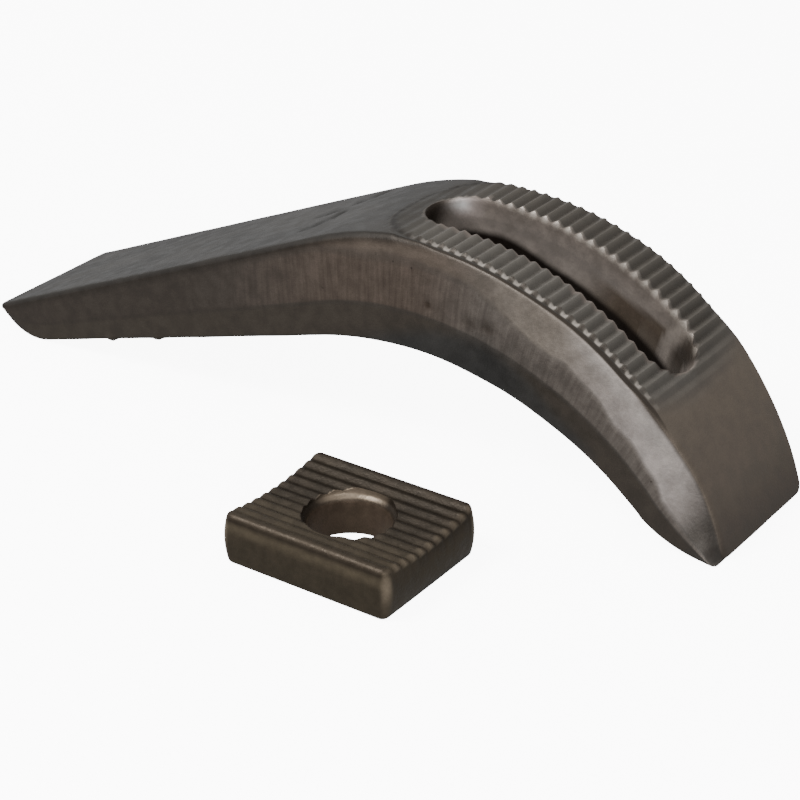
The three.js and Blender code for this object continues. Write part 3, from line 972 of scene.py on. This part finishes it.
def washer_steel():
    s = Surface("washer_steel", METALLIC)
    place = s.node("TexCoord", {}, output="Object")
    broad = s.noise(place, 12, 3)
    blotch = s.noise(place, 2.5, 4, 0.6)
    grain = s.noise(place, 0.6, 3, 0.6)
    colour = s.blend(s.spread(broad, 0.35, 0.65), shade(50, 45, 39), shade(57, 51, 44))
    colour = s.blend(s.mask("front"), colour, shade(70, 63, 53))
    colour = s.blend(s.mask("sides"), colour, shade(70, 63, 53))
    # Painted light on the front face's upper strip.
    colour = s.blend(s.mask("front_upper_painted_light"), colour, shade(94, 85, 71))
    # Wear and painted highlight on the upright edges and ridge ends.
    colour = s.blend(s.mask("wear_and_painted_highlight"), colour, shade(140, 127, 110))
    # Painted shade along the upper front edge.
    colour = s.blend(s.mask("front_edge_painted_shade"), colour, shade(61, 54, 46))
    # Painted shade over the ring.
    colour = s.blend(s.mask("ring"), colour, shade(50, 44, 38))
    # Painted highlight on the ring.
    colour = s.blend(s.mask("ring_lit"), colour, shade(128, 115, 100))
    colour = s.blend(s.mask("bore"), colour, shade(88, 76, 65))
    s.link("Base Color", s.mottled(colour, blotch, 0.88, 1.1))
    s.link("Roughness", s.spread(blotch, 0.3, 0.7, 0.38, 0.55))
    s.link("Normal", s.bump(grain, 0.06, s.bump(blotch, 0.15)))
    return s.material


def floor_material():
    s = Surface("pale_floor", 0.0)
    s.shader.inputs["Base Color"].default_value = (0.9, 0.9, 0.9, 1)
    s.shader.inputs["Roughness"].default_value = 0.9
    s.shader.inputs["Emission Color"].default_value = (1, 1, 1, 1)
    s.shader.inputs["Emission Strength"].default_value = 9.0
    return s.material


arm.data.materials.append(arm_steel())
washer.data.materials.append(washer_steel())


# ---- Floor, light and camera -----------------------------------------------------------------
FLOOR_HALF = 9           # metres
CAMERA_AZIMUTH = math.radians(35)
CAMERA_ELEVATION = math.radians(27.5)
CAMERA_TARGET = Vector((4.7, 31.2, 1.0)) * MM
CAMERA_DISTANCE = 528.2 * MM
CAMERA_LENS = 101.9      # for a sensor 36 mm wide


def floor():
    mesh = bpy.data.meshes.new("floor")
    corners = [(FLOOR_HALF * x, FLOOR_HALF * y, 0) for x, y in ((-1, -1), (1, -1), (1, 1), (-1, 1))]
    mesh.from_pydata(corners, [], [(0, 1, 2, 3)])
    obj = bpy.data.objects.new("floor", mesh)
    bpy.context.scene.collection.objects.link(obj)
    obj.data.materials.append(floor_material())
    # The floor is bright to look at, and gives the steel no more light from below.
    obj.visible_diffuse = False
    obj.visible_glossy = False


def area_light(name, place, target, size, power):
    data = bpy.data.lights.new(name, "AREA")
    data.shape = "RECTANGLE"
    data.size, data.size_y = size
    data.energy = power
    obj = bpy.data.objects.new(name, data)
    obj.location = place
    obj.rotation_euler = (Vector(target) - Vector(place)).to_track_quat("-Z", "Y").to_euler()
    bpy.context.scene.collection.objects.link(obj)


def studio_world(below, above):
    """Even light that is weak from below the horizon and stronger from above it."""
    world = bpy.data.worlds.new("studio")
    world.use_nodes = True
    nodes, links = world.node_tree.nodes, world.node_tree.links
    split = nodes.new("ShaderNodeSeparateXYZ")
    links.new(nodes.new("ShaderNodeTexCoord").outputs["Generated"], split.inputs["Vector"])
    ramp = nodes.new("ShaderNodeMapRange")
    links.new(split.outputs["Z"], ramp.inputs["Value"])
    ramp.inputs["From Min"].default_value = -0.25
    ramp.inputs["From Max"].default_value = 0.45
    ramp.inputs["To Min"].default_value = below
    ramp.inputs["To Max"].default_value = above
    back = nodes["Background"]
    back.inputs["Color"].default_value = (1, 1, 1, 1)
    links.new(ramp.outputs["Result"], back.inputs["Strength"])
    bpy.context.scene.world = world


def camera():
    data = bpy.data.cameras.new("camera")
    data.lens = CAMERA_LENS
    data.sensor_width = 36
    obj = bpy.data.objects.new("camera", data)
    level = math.cos(CAMERA_ELEVATION)
    back = Vector((math.sin(CAMERA_AZIMUTH) * level, -math.cos(CAMERA_AZIMUTH) * level,
                   math.sin(CAMERA_ELEVATION)))
    obj.location = CAMERA_TARGET + back * CAMERA_DISTANCE
    obj.rotation_euler = (-back).to_track_quat("-Z", "Y").to_euler()
    data.clip_start = 0.01
    bpy.context.scene.collection.objects.link(obj)
    bpy.context.scene.camera = obj


floor()
area_light("key", (-0.35, -0.5, 0.79), (0, 0, 0), (0.35, 0.35), 14)
area_light("fill", (0.7, -0.6, 0.5), (0, 0, 0), (0.4, 0.4), 4.5)
studio_world(0.5, 0.9)
camera()
